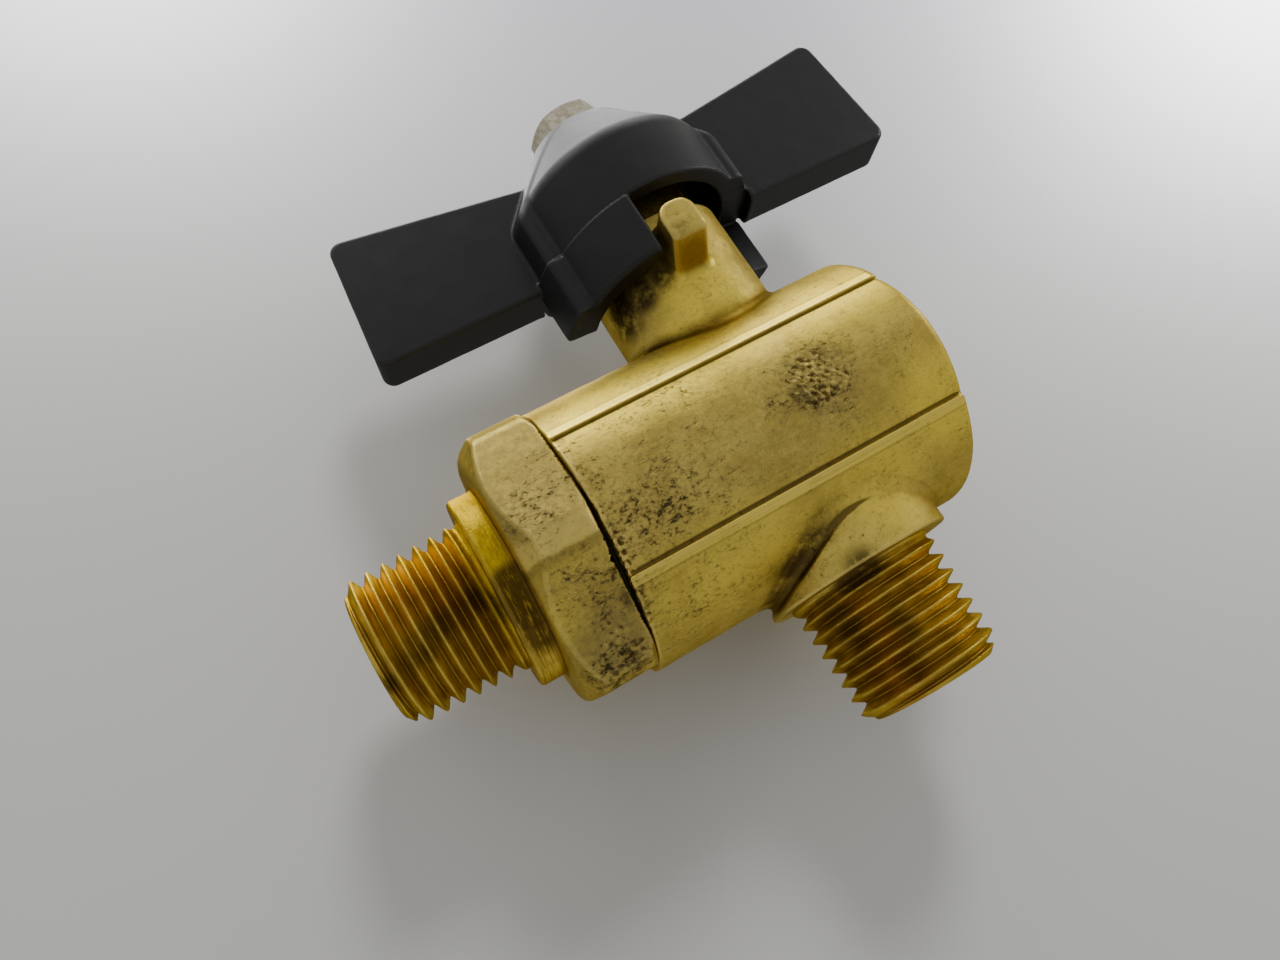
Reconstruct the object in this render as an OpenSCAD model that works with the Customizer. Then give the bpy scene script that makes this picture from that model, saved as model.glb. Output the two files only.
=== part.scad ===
// Right-angle brass ball valve with a quarter-turn wing handle.
// The inlet runs along -X, the outlet points down along -Z and the stem stands up along +Z.
// The origin is the centre of the outlet end face; the ball's centre is axis_h above it.

/* [Pipe ends] */
// Height of the ball's centre above the outlet end face
axis_h = 24.6; // [23:0.1:27]
// Distance from the stem axis to the inlet end face
inlet_reach = 38.5; // [37:0.1:42]
// Radius of the flow passage
port_r = 3.5; // [2.5:0.1:3.7]
// Thread pitch of both male pipe ends (18 threads per inch)
pitch = 1.411; // [1.3:0.001:1.5]
// Crest radius of the first thread at the small end
crest_r = 6.45; // [6.2:0.05:6.8]
// Depth of a thread from crest to root
thread_depth = 0.95; // [0.5:0.05:1.1]
// Growth in radius for each millimetre along the tapered thread
taper = 0.03125; // [0:0.00125:0.05]
// Number of thread crests on each pipe end
crests = 7; // [5:1:7]
// Radius of the rim left at each end face by its chamfer
rim_r = 5.4; // [4.8:0.1:5.8]
// Length of the end chamfer before the first thread crest
lead_in = 0.9; // [0.6:0.1:1.2]

/* [Barrel] */
// Outer radius of the barrel
barrel_r = 12.15; // [11.8:0.05:13]
// Distance from the stem axis to the barrel's open end
barrel_open = 19.3; // [18:0.1:21]
// Distance from the stem axis to the barrel's closed end
barrel_closed = 12.2; // [11.8:0.1:14]
// Rounding of the closed end's edge
barrel_round = 0.9; // [0.3:0.1:1.5]
// Angle from the middle of a side panel to its edge
panel_angle = 30.6; // [20:0.2:36]
// Radius of curvature of a side panel
panel_curve_r = 9.3; // [9:0.1:11]
// How far a side panel's middle stands out from the barrel
panel_proud = 0.3; // [0:0.05:0.6]
// Distance by which each panel stops short of the open end
panel_setback = 0.1; // [0:0.1:1]

/* [Neck, boss and stop] */
// Outer radius of the stem neck
neck_r = 7.2; // [7:0.1:7.6]
// Height of the neck's top above the ball's centre
neck_top = 22; // [21.5:0.1:22.5]
// Outer radius of the outlet boss
boss_r = 8.45; // [8:0.05:9]
// Distance of the boss's lower face below the ball's centre
boss_low = 13.6; // [13.2:0.1:13.8]
// Width of the stop lug on the neck
lug_w = 3.5; // [3:0.1:4]
// Distance from the stem axis to the lug's outer face
lug_reach = 11.2; // [10.8:0.1:11.6]
// Height of the lug's top above the ball's centre
lug_top = 20.4; // [20:0.1:21]

/* [Inlet adapter] */
// Width across the flats of the spanner hexagon
hex_af = 23; // [22:0.1:25]
// Length of the spanner hexagon
hex_len = 6.35; // [5:0.05:7]
// Turn of the hexagon about the inlet axis
hex_turn = -23.3; // [-30:0.1:30]
// Radius of the collar between hexagon and thread
collar_r = 8.55; // [8:0.05:9]
// Length of the collar
collar_len = 2.3; // [1.5:0.1:2.5]
// Radius of the spigot that screws into the barrel
spigot_r = 9.05; // [9:0.05:9.3]

/* [Ball and seats] */
// Radius of the ball
ball_r = 7; // [6.8:0.05:7.1]
// Radius of the passage through the ball
ball_port_r = 3.4; // [2.5:0.1:3.6]
// Distance from the stem axis to the back of each seat
seat_back = 8.2; // [8:0.1:8.6]
// Distance from the stem axis to the front of each seat
seat_front = 4.4; // [4.2:0.1:4.8]
// Inner radius of each seat ring
seat_bore_r = 3.9; // [3.8:0.1:4.2]

/* [Stem] */
// Radius of the stem
stem_r = 3; // [2.8:0.05:3.1]
// Distance across the flats on the upper stem
stem_flats = 4.3; // [4:0.1:4.6]
// Thickness of the tongue that turns the ball
tongue_w = 2.5; // [2:0.1:2.8]
// Radius of the stem's retaining flange
flange_r = 4.4; // [4:0.1:4.5]

/* [Handle] */
// Distance from the stem axis to the lower tip of each wing
wing_reach = 27.6; // [25:0.1:30]
// Height of a wing at its tip
wing_h = 14; // [12:0.1:16]
// Height of a wing's lower edge above the ball's centre
wing_low = 22; // [21.6:0.1:23]
// Rise of the wing's top edge towards its tip
wing_rise = 3.2; // [1:0.1:5]
// Thickness of each wing
wing_t = 4.6; // [3.5:0.1:5]
// Radius of the hub wall
hub_r = 10.3; // [10.2:0.05:10.5]
// Height of the skirt's lower rim above the ball's centre
skirt_low = 16.9; // [16.8:0.1:18]
// Height of the step between skirt and hub wall
ledge_z = 23; // [22.6:0.1:23.5]
// Height where the hub wall turns into the dome
dome_low = 29.2; // [28:0.1:30]
// Height of the hub's flat top
hub_top = 36.4; // [36:0.1:37]
// Radius of the hub's flat top
top_r = 4.6; // [4.5:0.1:5.2]
// Amount by which the skirt is thicker than the hub wall
skirt_step = 0.25; // [0.1:0.05:0.4]
// Amount by which the pads at the wing roots stand out
pad_proud = 1.1; // [0.3:0.05:1.2]
// Half the width of each wing-root pad
pad_half_w = 5.1; // [4:0.05:5.5]
// Amount by which the skirt stands out below each pad
pad_lip = 0.35; // [0.05:0.05:0.4]
// Inner radius of the hub's hollow
cup_r = 8.6; // [8.4:0.1:8.7]
// Angle about the stem where the notch that rides past the stop lug begins
notch_from = -104.5; // [-106:0.5:-103.5]
// Angle about the stem where that notch ends
notch_to = 14; // [13.5:0.5:18]
// Angle about the stem where the notch at the back begins
back_notch_from = 75.5; // [70:0.5:80]
// Angle about the stem where the notch at the back ends
back_notch_to = 186; // [180:0.5:190]

/* [Hidden] */

$fn = 64;
eps = 0.01;            // overlap that makes two unioned shapes share volume
run_gap = 0.06;        // radial clearance of a part that turns in another
fit_gap = 0.05;        // clearance of a part that is screwed or pushed into another

seal_t = 0.15;         // thickness of the squeezed ring between barrel and hexagon
seal_r = 10.7;
hex_right = -barrel_open - seal_t;
hex_left = hex_right - hex_len;
collar_left = hex_left - collar_len;
hex_r = hex_af / 2 / cos(30);
hex_round_r = 12.75;   // radius to which the hexagon's corners are turned
hex_chamfer = 1.5;     // length of the slope towards the inlet thread
hex_back_chamfer = 0.4;

cavity_r = 8.2;        // chamber that holds the ball and its seats
spigot_bore_r = spigot_r + fit_gap;
spigot_end = 10.4;     // depth of the threaded mouth, measured from the stem axis
pocket_r = flange_r + 0.2;
pocket_top = 10;
neck_bore_r = stem_r + run_gap;
chamber_r = 5;         // packing chamber in the neck
chamber_low = 16;

lug_low_front = 16.9;  // heights of the lug's underside at its face and at the neck
lug_low_root = 15.3;
lug_corner = 1.5;

washer_t = 0.8;
packing_h = 2.6;
follower_h = 1.2;
gland_af = 12;
gland_top = 25.3;
gland_seat = neck_top + 0.15;

tongue_low = 5.3;
tongue_len = 6;
flange_low = 7.6;
flange_top = pocket_top - washer_t;
shoulder_z = 26.2;     // where the stem's flats begin and the handle sits
stem_top = 34.9;
slot_floor = 5.1;
o_ring_r = 0.4;
o_ring_heights = [12.2, 14.2];
groove_floor_r = stem_r - 0.82;

screw_r = 2;
screw_head_af = 6.9;
screw_head_h = 2.8;
screw_head_low = 36.15;
screw_len = 10;
lock_washer_t = 0.9;
lock_washer_r = 3.8;
lock_gap_w = 0.9;
recess_r = 4.1;        // counterbore for the screw's head and its washer

cup_top = shoulder_z;
wing_root = 7;         // wings start inside the hub wall
wing_corner = 1.2;
dome_steps = 8;
dome_bulge = 0.03;     // bulge of the dome's side, as a share of its length
pad_drop = 0.9;        // how much lower the dome begins over the pads
lip_r = hub_r + pad_proud + pad_lip;
lip_half_w = pad_half_w + 0.65;
notch_r = lip_r + fit_gap;

// Turns a shape that was drawn along +Z so that it lies along +X.
module along_x() {
    rotate([0, 90, 0]) children();
}

// Lifts a shape from the ball's centre, where it is drawn, to its height above the outlet face.
module at_ball() {
    translate([0, 0, axis_h]) children();
}

// A ring about Z.
module ring(outer_r, inner_r, low, high) {
    translate([0, 0, low]) difference() {
        cylinder(r = outer_r, h = high - low);
        translate([0, 0, -1]) cylinder(r = inner_r, h = high - low + 2);
    }
}

// A pie slice about Z from angle a to angle b, less than 180 degrees wide.
module slice(a, b, r, low, high) {
    reach = r / cos((b - a) / 2);
    translate([0, 0, low]) linear_extrude(high - low)
        polygon([[0, 0], for (i = [0:2]) reach * [cos(a + (b - a) * i / 2), sin(a + (b - a) * i / 2)]]);
}

// Half outline of a tapered pipe thread: [radius, height], with the small end at height 0.
function thread_outline(root_h) = concat(
    [[0, 0], [rim_r, 0]],
    [for (i = [0:crests - 1]) each [
        [root_at(i, -0.5), lead_in + (i - 0.44) * pitch],
        [crest_at(i), lead_in + (i - 0.06) * pitch],
        [crest_at(i), lead_in + (i + 0.06) * pitch],
        [root_at(i, 0.5), lead_in + (i + 0.44) * pitch]
    ]],
    [[root_at(crests - 1, 0.5), root_h], [0, root_h]]
);
function crest_at(i) = crest_r + i * pitch * taper;
function root_at(i, side) = i == 0 && side < 0 ? rim_r : crest_at(i) - thread_depth;

// A male pipe end standing on its small end face, running up to root_h.
module pipe_end(root_h) {
    rotate_extrude() polygon(thread_outline(root_h));
}

// Bar along X from the open end to the closed end, which is rounded.
module rounded_bar(r, start) {
    translate([start, 0, 0]) along_x() cylinder(r = r, h = barrel_closed - barrel_round - start);
    translate([barrel_closed - barrel_round, 0, 0]) along_x() {
        translate([0, 0, -eps]) cylinder(r = r - barrel_round, h = barrel_round + eps);
        rotate_extrude() translate([r - barrel_round, 0]) circle(r = barrel_round, $fn = 32);
    }
}

// Barrel: a round bar with a flatter raised panel along each side.
module barrel() {
    length = barrel_open + barrel_closed;
    difference() {
        rounded_bar(barrel_r, -barrel_open);
        translate([-barrel_open, 0, 0]) along_x() for (side = [-1, 1]) panel_zone(side, length);
    }
    for (side = [-1, 1]) intersection() {
        rounded_bar(barrel_r + panel_proud, panel_setback - barrel_open);
        translate([-barrel_open, 0, 0]) along_x() intersection() {
            translate([0, side * (barrel_r + panel_proud - panel_curve_r), 0])
                cylinder(r = panel_curve_r, h = length);
            panel_zone(side, length);
        }
    }
}

// The part of the barrel's cross-section that one side panel takes up.
module panel_zone(side, length) {
    slice(side * 90 - panel_angle, side * 90 + panel_angle, barrel_r + 1, -eps, length + eps);
}

// Stop lug on the near side of the neck: a blunt finger with a sloping underside.
module lug() {
    intersection() {
        translate([-lug_w / 2, 0, 0]) rotate([90, 0, 90]) linear_extrude(lug_w) polygon([
            [-neck_r + 1, lug_low_root - 0.5], [-neck_r, lug_low_root], [-lug_reach + 0.4, lug_low_front],
            [-lug_reach, lug_low_front + 0.5], [-lug_reach, lug_top - 0.5], [-lug_reach + 0.4, lug_top],
            [-neck_r + 1, lug_top + 0.3]
        ]);
        rotate([90, 0, 0]) linear_extrude(lug_reach + 1) union() {
            translate([-lug_w / 2, lug_low_root - 1]) square([lug_w, lug_top - lug_corner - lug_low_root + 1]);
            translate([lug_corner - lug_w / 2, lug_low_root - 1])
                square([lug_w - 2 * lug_corner, lug_top + 1 - lug_low_root + 1]);
            for (side = [-1, 1]) translate([side * (lug_w / 2 - lug_corner), lug_top - lug_corner])
                circle(r = lug_corner, $fn = 32);
        }
    }
}

module body() {
    color("darkgoldenrod") at_ball() difference() {
        union() {
            barrel();
            cylinder(r = neck_r, h = neck_top);
            translate([0, 0, -boss_low]) cylinder(r = boss_r, h = boss_low);
            translate([0, 0, -axis_h]) pipe_end(axis_h - 5);
            lug();
        }
        // ball chamber and the mouth for the inlet adapter
        translate([-barrel_open - 1, 0, 0]) along_x() cylinder(r = cavity_r, h = barrel_open + 1 + seat_back);
        translate([-barrel_open - 1, 0, 0]) along_x()
            cylinder(r = spigot_bore_r, h = barrel_open + 1 - spigot_end);
        // outlet passage
        translate([0, 0, -axis_h - 1]) cylinder(r = port_r, h = axis_h + 1);
        // stem pocket, stem bore and packing chamber
        cylinder(r = pocket_r, h = pocket_top);
        cylinder(r = neck_bore_r, h = neck_top + 1);
        translate([0, 0, chamber_low]) cylinder(r = chamber_r, h = neck_top);
    }
}

module inlet_adapter() {
    color("goldenrod") at_ball() difference() {
        union() {
            translate([-inlet_reach, 0, 0]) along_x() pipe_end(inlet_reach + collar_left + 1);
            translate([collar_left, 0, 0]) along_x() cylinder(r = collar_r, h = collar_len + 1);
            hexagon();
            translate([hex_right - 1, 0, 0]) along_x() cylinder(r = spigot_r, h = -spigot_end - hex_right + 1);
            translate([-spigot_end - 1, 0, 0]) along_x()
                cylinder(r = cavity_r - fit_gap, h = spigot_end + 1 - seat_back);
        }
        translate([-inlet_reach - 1, 0, 0]) along_x() cylinder(r = port_r, h = inlet_reach + 2);
    }
}

// Spanner hexagon with its corners turned round and chamfered at both ends.
module hexagon() {
    intersection() {
        translate([hex_left, 0, 0]) rotate([hex_turn, 0, 0]) along_x() cylinder(r = hex_r, h = hex_len, $fn = 6);
        translate([hex_left, 0, 0]) along_x() rotate_extrude() polygon([
            [0, 0], [hex_round_r - 1.2 * hex_chamfer, 0], [hex_round_r, hex_chamfer],
            [hex_round_r, hex_len - hex_back_chamfer], [hex_round_r - hex_back_chamfer, hex_len], [0, hex_len]
        ]);
    }
}

module body_seal() {
    color("dimgray") at_ball() translate([hex_right, 0, 0]) along_x() ring(seal_r, spigot_bore_r, 0, seal_t);
}

// Seat ring on the side of the ball given by the sign of side.
module seat(side) {
    difference() {
        rotate([0, side * 90, 0]) ring(cavity_r - fit_gap, seat_bore_r, seat_front, seat_back);
        sphere(r = ball_r + run_gap);
    }
}

module inlet_seat() {
    color("white") at_ball() seat(-1);
}

module rear_seat() {
    color("white") at_ball() seat(1);
}

module stem_packing() {
    color("white") at_ball() ring(chamber_r - fit_gap, neck_bore_r, chamber_low, chamber_low + packing_h);
}

module packing_follower() {
    color("goldenrod") at_ball()
        ring(chamber_r - fit_gap, neck_bore_r, chamber_low + packing_h, chamber_low + packing_h + follower_h);
}

module gland_nut() {
    color("goldenrod") at_ball() difference() {
        union() {
            translate([0, 0, chamber_low + packing_h + follower_h])
                cylinder(r = chamber_r - fit_gap, h = gland_seat - chamber_low - packing_h - follower_h + 1);
            translate([0, 0, gland_seat]) cylinder(r = gland_af / 2 / cos(30), h = gland_top - gland_seat, $fn = 6);
        }
        cylinder(r = neck_bore_r, h = gland_top + 1);
    }
}

// Ball with an L-shaped passage: one mouth towards the inlet, one down to the outlet.
module ball() {
    color("lightsteelblue") at_ball() difference() {
        sphere(r = ball_r);
        sphere(r = ball_port_r);
        translate([0, 0, -ball_r - 1]) cylinder(r = ball_port_r, h = ball_r + 1);
        translate([-ball_r - 1, 0, 0]) along_x() cylinder(r = ball_port_r, h = ball_r + 1);
        translate([-ball_r, -tongue_w / 2 - fit_gap, slot_floor])
            cube([2 * ball_r, tongue_w + 2 * fit_gap, ball_r]);
    }
}

module stem() {
    color("goldenrod") at_ball() difference() {
        union() {
            intersection() {
                translate([-tongue_len / 2, -tongue_w / 2, tongue_low])
                    cube([tongue_len, tongue_w, flange_low - tongue_low + eps]);
                cylinder(r = tongue_len / 2, h = flange_top);
            }
            translate([0, 0, flange_low]) cylinder(r = flange_r, h = flange_top - flange_low);
            translate([0, 0, flange_low]) cylinder(r = stem_r, h = shoulder_z - flange_low);
            intersection() {
                translate([0, 0, shoulder_z - eps]) cylinder(r = stem_r, h = stem_top - shoulder_z + eps);
                translate([-stem_r, -stem_flats / 2, 0]) cube([2 * stem_r, stem_flats, stem_top]);
            }
        }
        for (z = o_ring_heights)
            ring(stem_r + 1, groove_floor_r, z - o_ring_r - fit_gap, z + o_ring_r + fit_gap);
        translate([0, 0, stem_top - screw_len]) cylinder(r = screw_r + fit_gap, h = screw_len + 1);
    }
}

module thrust_washer() {
    color("white") at_ball() ring(flange_r, neck_bore_r, flange_top, pocket_top - fit_gap);
}

module o_ring(z) {
    translate([0, 0, z]) rotate_extrude() translate([groove_floor_r + o_ring_r + 0.01, 0])
        circle(r = o_ring_r, $fn = 24);
}

module lower_stem_o_ring() {
    color("black") at_ball() o_ring(o_ring_heights[0]);
}

module upper_stem_o_ring() {
    color("black") at_ball() o_ring(o_ring_heights[1]);
}

// Side of the hub's outline from wall radius wall_r up to its flat top: a slightly bulging dome.
function dome_side(wall_r, wall_z) = [
    for (i = [0:dome_steps])
        let (t = i / dome_steps, run = [top_r - wall_r, hub_top - wall_z])
        [wall_r, wall_z] + t * run + sin(180 * t) * dome_bulge * [run[1], -run[0]]
];

// Solid hub turned from its outline, with its wall at wall_r.
module hub_solid(wall_r, wall_z, low) {
    rotate_extrude() polygon(concat([[0, low], [wall_r, low]], dome_side(wall_r, wall_z), [[0, hub_top]]));
}

// Both wings as one plate on the XZ plane.
module wings() {
    tip_low = [wing_reach, wing_low];
    tip_high = [wing_reach - 1.1, wing_low + wing_h];
    root_high = [wing_root, wing_low + wing_h - wing_rise];
    for (side = [0, 1]) mirror([side, 0, 0]) translate([0, wing_t / 2, 0]) rotate([90, 0, 0])
        linear_extrude(wing_t) polygon(concat(
            [[wing_root, wing_low]],
            rounded(tip_low + [-wing_corner, wing_corner], -90, -5),
            rounded(tip_high + [-wing_corner - 0.1, -wing_corner - 0.2], -5, 100),
            [root_high]
        ));
}

// Points of a corner arc about centre c, from angle a to angle b.
function rounded(c, a, b) = [for (i = [0:5]) c + wing_corner * [cos(a + (b - a) * i / 5), sin(a + (b - a) * i / 5)]];

// Notch in the skirt from angle a to angle b about the stem.
module notch(a, b) {
    middle = (a + b) / 2;
    intersection() {
        cylinder_band(notch_r, skirt_low - 1, ledge_z);
        union() {
            slice(a, middle, notch_r, skirt_low - 1, ledge_z);
            slice(middle - 1, b, notch_r, skirt_low - 1, ledge_z);
        }
    }
}

module handle() {
    color([0.1, 0.1, 0.1]) at_ball() difference() {
        union() {
            hub_solid(hub_r, dome_low, skirt_low);
            cylinder_band(hub_r + skirt_step, skirt_low, ledge_z);
            intersection() {
                hub_solid(hub_r + pad_proud, dome_low - pad_drop, skirt_low);
                translate([-wing_reach, -pad_half_w, 0]) cube([2 * wing_reach, 2 * pad_half_w, hub_top]);
            }
            intersection() {
                cylinder_band(lip_r, skirt_low, ledge_z);
                translate([-wing_reach, -lip_half_w, 0]) cube([2 * wing_reach, 2 * lip_half_w, hub_top]);
            }
            wings();
        }
        // hollow that clears the neck and the gland nut
        cylinder(r = cup_r, h = cup_top);
        notch(notch_from, notch_to);
        notch(back_notch_from, back_notch_to);
        // hole for the stem's flats
        intersection() {
            cylinder(r = stem_r + fit_gap, h = stem_top + fit_gap);
            translate([-stem_r - 1, -stem_flats / 2 - fit_gap, 0])
                cube([2 * stem_r + 2, stem_flats + 2 * fit_gap, hub_top]);
        }
        // hole and counterbore for the screw
        cylinder(r = screw_r + 0.2, h = hub_top + 1);
        translate([0, 0, screw_head_low - lock_washer_t]) cylinder(r = recess_r, h = hub_top);
    }
}

// A solid disc between two heights.
module cylinder_band(r, low, high) {
    translate([0, 0, low]) cylinder(r = r, h = high - low);
}

// Spring washer: a ring split by a narrow gap.
module lock_washer() {
    low = screw_head_low - lock_washer_t;
    color("silver") at_ball() difference() {
        ring(lock_washer_r, screw_r + 0.1, low, screw_head_low);
        translate([0, -lock_gap_w / 2, low - 1]) cube([6, lock_gap_w, lock_washer_t + 2]);
    }
}

module handle_screw() {
    color("gainsboro") at_ball() union() {
        intersection() {
            translate([0, 0, screw_head_low]) rotate(-8)
                cylinder(r = screw_head_af / 2 / cos(30), h = screw_head_h, $fn = 6);
            translate([0, 0, screw_head_low]) rotate_extrude() polygon([
                [0, 0], [4.1, 0], [4.1, screw_head_h - 0.45], [3.4, screw_head_h], [0, screw_head_h]
            ]);
        }
        translate([0, 0, screw_head_low - screw_len]) cylinder(r = screw_r, h = screw_len + eps);
    }
}

body();
inlet_adapter();
body_seal();
inlet_seat();
rear_seat();
stem_packing();
packing_follower();
gland_nut();
ball();
stem();
thrust_washer();
lower_stem_o_ring();
upper_stem_o_ring();
handle();
lock_washer();
handle_screw();
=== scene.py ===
import math

import bpy
import numpy as np
from mathutils import Matrix, Vector


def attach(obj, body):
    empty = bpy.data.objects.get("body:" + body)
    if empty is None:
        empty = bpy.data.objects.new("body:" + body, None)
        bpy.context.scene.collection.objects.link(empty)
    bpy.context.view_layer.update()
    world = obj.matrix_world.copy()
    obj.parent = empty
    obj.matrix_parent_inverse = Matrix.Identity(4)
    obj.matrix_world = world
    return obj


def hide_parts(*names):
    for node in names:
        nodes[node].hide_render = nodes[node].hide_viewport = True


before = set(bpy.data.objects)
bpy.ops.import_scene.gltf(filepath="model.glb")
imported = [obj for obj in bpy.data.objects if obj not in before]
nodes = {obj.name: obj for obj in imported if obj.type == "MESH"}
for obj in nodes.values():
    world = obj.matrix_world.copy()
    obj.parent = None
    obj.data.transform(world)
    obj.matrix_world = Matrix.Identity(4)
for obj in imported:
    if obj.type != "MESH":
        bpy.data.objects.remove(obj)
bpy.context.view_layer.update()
scene = bpy.context.scene

# ---------------------------------------------------------------- sizes, in millimetres about the ball's centre
# the ball's centre stands this far above the outlet's end face, which is the row frame's zero
AXIS_H = 24.6
BARREL_R, BARREL_OPEN, BARREL_CLOSED = 12.15, 19.3, 12.2
# a creased panel is an arc of PANEL_R about a centre PANEL_SHIFT off the barrel's axis, PANEL_A up and down
PANEL_A, PANEL_R, PANEL_SHIFT = math.radians(30.6), 9.3, 3.15
NECK_R, NECK_TOP, BOSS_R, BOSS_LOW = 7.2, 22, 8.45, -13.6
LUG_X, LUG_HALF, LUG_REACH, LUG_LOW, LUG_TOP = -0.05, 1.7, 11.2, 15.3, 20.4
CHAMBER_R, MOUTH_R, MOUTH_END, PORT_R = 8.2, 9.1, -10.4, 3.5
POCKET_R, POCKET_TOP, STEM_BORE_R, PACKING_R, PACKING_LOW = 4.6, 10, 3.06, 5, 16
HEX_L, HEX_R, HEX_FLAT, HEX_ROUND_R, HEX_TURN = -25.8, -19.45, 11.5, 12.75, 23.3
COLLAR_R, COLLAR_L, SPIGOT_R, NOSE_R = 8.55, -28.1, 9.05, 8.15
HUB_R, HUB_TOP, CONE_TOP_R, PAD_R, PAD_HALF = 10.3, 36.4, 4.6, 11.4, 5.1
SKIRT_R, SKIRT_LOW, LEDGE_Z, CUP_R, CUP_TOP = 10.55, 16.9, 23.0, 8.6, 26.2
WING_REACH, WING_ROOT, WING_HALF, WING_LOW, WING_TALL, WING_DROP = 27.6, 7, 2.3, 22, 14, 3.2
INLET_FACE, OUTLET_FACE = -38.5, -AXIS_H
PITCH, THREAD_DEPTH, TAPER, CREST_R, RIM_R, FIRST_CREST = 1.411, 0.95, 0.03125, 6.45, 5.4, 0.9


# ---------------------------------------------------------------- signed distance tools
def hyp(a, b):
    return np.sqrt(a * a + b * b)


def join(a, b, r):
    """Union with a fillet of radius r."""
    return np.maximum(r, np.minimum(a, b)) - hyp(np.maximum(r - a, 0), np.maximum(r - b, 0))


def meet(a, b, r):
    """Intersection with its edge rounded by r."""
    return np.minimum(-r, np.maximum(a, b)) + hyp(np.maximum(r + a, 0), np.maximum(r + b, 0))


def cut(a, b, r):
    return meet(a, -b, r)


def band(v, lo, hi):
    return np.maximum(lo - v, v - hi)


rng = np.random.default_rng(7)
WAVES = [
    (rng.normal(size=3), rng.uniform(0, 6.28), rng.normal(size=3), rng.uniform(0, 6.28))
    for _ in range(10)
]


def ripple(x, y, z, size):
    """Smooth uneven surface noise, about -1 to 1, with bumps roughly size mm across."""
    total = 0.0
    for i, (a, a_start, b, b_start) in enumerate(WAVES):
        k = 2.2 / size * (0.7 + 0.12 * i)
        first = np.sin(k * (a[0] * x + a[1] * y + a[2] * z) + a_start)
        total = total + first * np.sin(k * (b[0] * x + b[1] * y + b[2] * z) + b_start)
    return total / 3.2


CORNERS = [(a, b, c) for a in (0, 1) for b in (0, 1) for c in (0, 1)]


def sample(field, lo, hi, h):
    """Values of field on a grid of step h over lo..hi, exact only near the surface, and the grid's axes."""
    block = 6
    cells = np.ceil((hi - lo) / h / block).astype(int) * block
    axes = [lo[i] + h * np.arange(cells[i] + 1) for i in range(3)]
    middles = [lo[i] + h * (block * np.arange(cells[i] // block) + block / 2) for i in range(3)]
    blocks = np.meshgrid(*middles, indexing="ij")
    coarse = field(*[v.ravel() for v in blocks]).reshape(blocks[0].shape)
    for axis in range(3):
        coarse = np.repeat(coarse, block, axis)
    values = np.full(cells + 1, 9.0, np.float32)
    values[:-1, :-1, :-1] = coarse
    near = np.zeros(cells + 1, bool)
    near[:-1, :-1, :-1] = np.abs(coarse) < h * block * 1.25
    near[1:] |= near[:-1]
    near[:, 1:] |= near[:, :-1]
    near[:, :, 1:] |= near[:, :, :-1]
    i, j, k = np.nonzero(near)
    values[i, j, k] = field(axes[0][i], axes[1][j], axes[2][k])
    return values, axes


def cell_vertices(values, axes, h):
    """A vertex in each cell that the surface crosses, and a grid of the vertices' numbers, -1 elsewhere."""
    inside = values < 0
    m = [v - 1 for v in values.shape]
    count = np.zeros(m, np.int8)
    for a, b, c in CORNERS:
        count += inside[a:a + m[0], b:b + m[1], c:c + m[2]]
    i, j, k = np.nonzero((count > 0) & (count < 8))
    number = np.full(m, -1, np.int32)
    number[i, j, k] = np.arange(len(i))
    at_corner = {q: values[i + q[0], j + q[1], k + q[2]] for q in CORNERS}
    place = np.zeros((len(i), 3))
    crossed = np.zeros(len(i))
    for q in CORNERS:
        for axis in range(3):
            if q[axis]:
                continue
            far = tuple(1 if t == axis else q[t] for t in range(3))
            a, b = at_corner[q], at_corner[far]
            cross = (a < 0) != (b < 0)
            along = np.where(cross, a / np.where(cross, a - b, 1), 0)
            for e in range(3):
                place[:, e] += np.where(cross, q[e] + (along if e == axis else 0), 0)
            crossed += cross
    place = place / crossed[:, None]
    return np.stack([axes[t][v] + place[:, t] * h for t, v in enumerate((i, j, k))], 1), number


def cell_quads(inside, number):
    """A quad through the four cells around each grid edge that the surface crosses, facing out."""
    m = number.shape
    quads = []
    for axis in range(3):
        here = [slice(1, m[t]) for t in range(3)]
        there = list(here)
        here[axis], there[axis] = slice(0, m[axis]), slice(1, m[axis] + 1)
        starts_inside = inside[tuple(here)]
        edge = np.nonzero(starts_inside != inside[tuple(there)])
        first = [edge[t] + (0 if t == axis else 1) for t in range(3)]
        u, v = [(1, 2), (2, 0), (0, 1)][axis]
        valley_shade = []
        for du, dv in ((-1, -1), (0, -1), (0, 0), (-1, 0)):
            cell = list(first)
            cell[u] = cell[u] + du
            cell[v] = cell[v] + dv
            valley_shade.append(number[tuple(cell)])
        quad = np.stack(valley_shade, 1)
        turned = ~starts_inside[edge]
        quad[turned] = quad[turned][:, ::-1]
        quads.append(quad[(quad >= 0).all(1)])
    return np.concatenate(quads)


def slope(field, V, e):
    """Gradient of field at the points V, from its values at a distance e on both sides."""
    G = np.empty_like(V)
    for t, d in enumerate(np.eye(3) * e):
        G[:, t] = field(*(V + d).T) - field(*(V - d).T)
    return G / (2 * e)


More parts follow.
